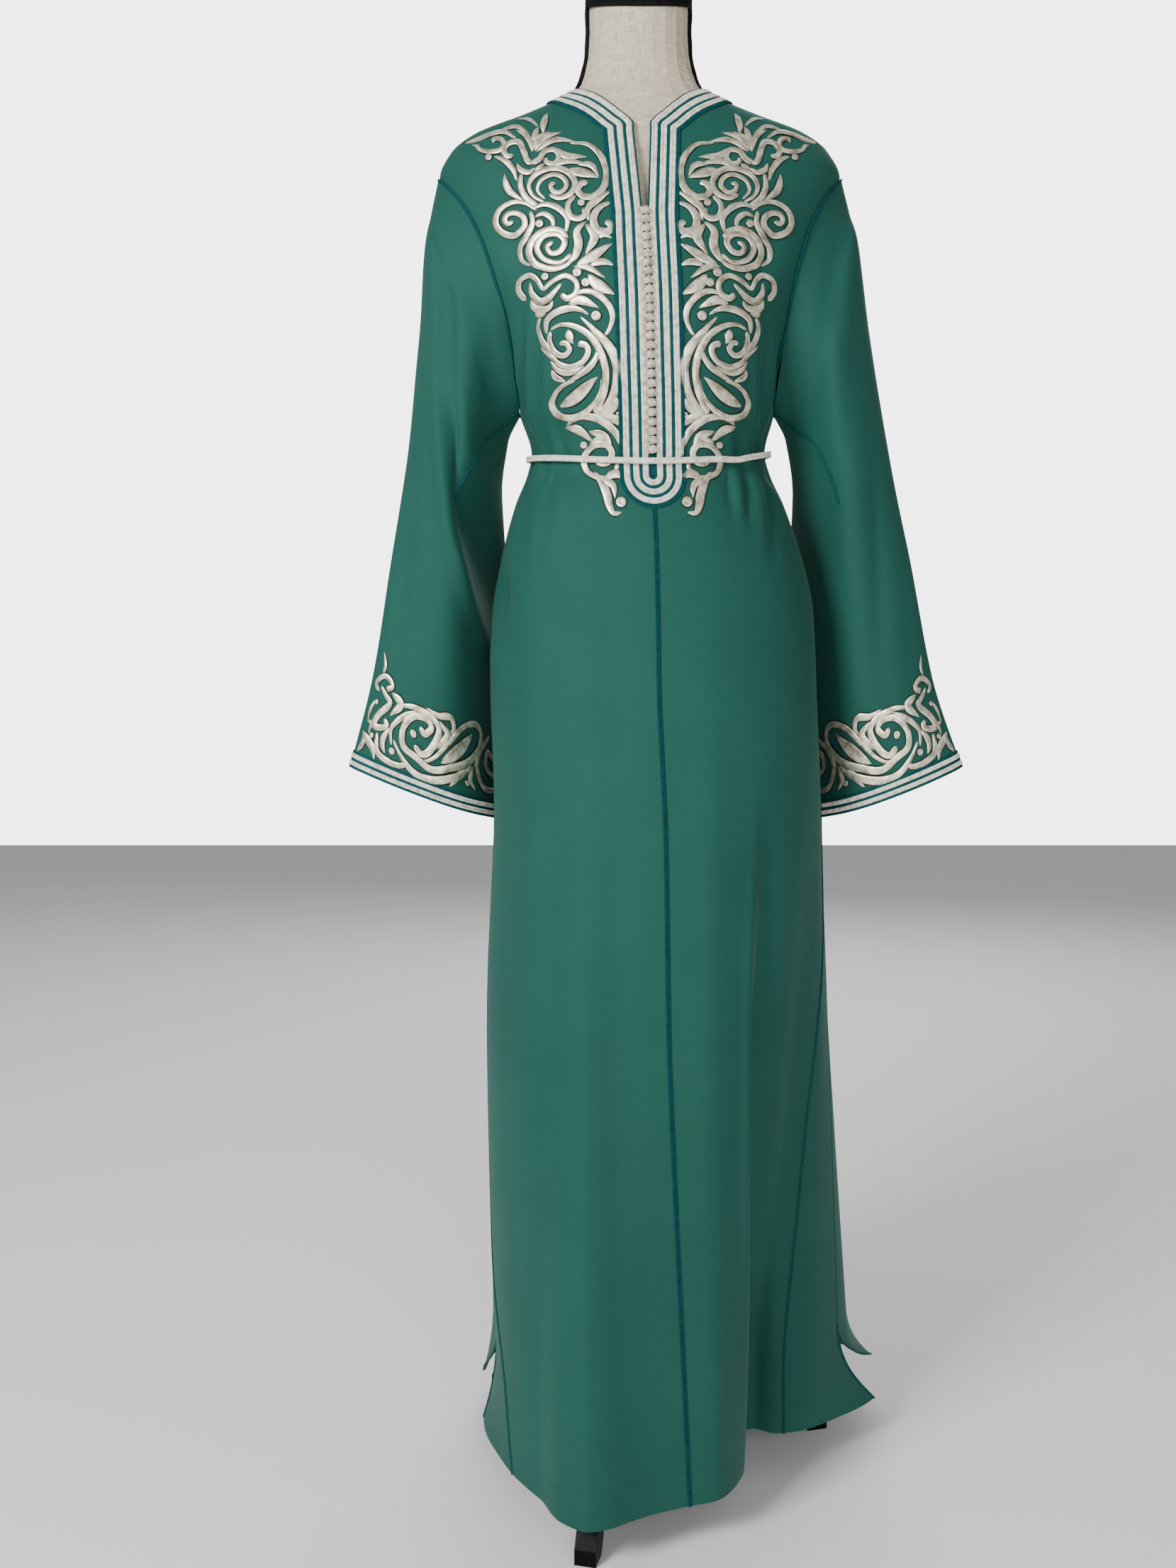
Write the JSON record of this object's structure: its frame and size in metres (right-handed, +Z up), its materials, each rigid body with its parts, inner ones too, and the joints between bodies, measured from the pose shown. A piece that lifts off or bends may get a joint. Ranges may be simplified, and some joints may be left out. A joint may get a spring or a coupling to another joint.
{
  "type": "kaftan on dress form",
  "caption": "Long kaftan with braided placket, embroidered front and cuffs, wide sleeves and cord belt, standing on a limbless dress form with a legged stand.",
  "frame": {"origin": "on the floor under the middle of the whole, the three soles resting on z = 0", "axes": "+Z up, -Y out of the garment's front, +X towards the wearer's left sleeve"},
  "size_m": [0.667, 0.4689, 1.6],
  "materials": {
    "crepe": "matt woven crepe",
    "braid": "satin viscose and silver braid",
    "cord": "satin viscose cord",
    "brass": "polished",
    "linen": "plain linen",
    "gimp": "matt braid",
    "black_wood": "satin black lacquer"
  },
  "bodies": {
    "root": {"front_left": "crepe", "front_right": "crepe", "gore_front_left": "crepe", "gore_front_right": "crepe", "gore_back_left": "crepe", "gore_back_right": "crepe", "back": "crepe", "sleeve_left": "crepe", "sleeve_right": "crepe", "braid_inner": "braid", "braid_middle": "braid", "braid_outer": "braid", "cuff_braid_lower_left": "braid", "cuff_braid_lower_right": "braid", "cuff_braid_upper_left": "braid", "cuff_braid_upper_right": "braid", "belt": "braid", "seam_braid_front": "cord", "button_01": "braid", "button_02": "braid", "button_03": "braid", "button_04": "braid", "button_05": "braid", "button_06": "braid", "button_07": "braid", "button_08": "braid", "button_09": "braid", "button_10": "braid", "button_11": "braid", "button_12": "braid", "button_13": "braid", "button_14": "braid", "button_15": "braid", "button_16": "braid", "button_17": "braid", "button_18": "braid", "button_19": "braid", "button_20": "braid", "button_21": "braid", "button_22": "braid", "button_23": "braid", "button_24": "braid", "button_25": "braid", "button_26": "braid", "button_27": "braid", "belt_clasp": "brass", "form_torso": "linen", "neck_cap": "gimp", "neck_gimp_left": "gimp", "neck_gimp_right": "gimp", "pole": "black_wood", "hub": "black_wood", "leg_front": "black_wood", "leg_left": "black_wood", "leg_right": "black_wood"}
  },
  "joints": []
}
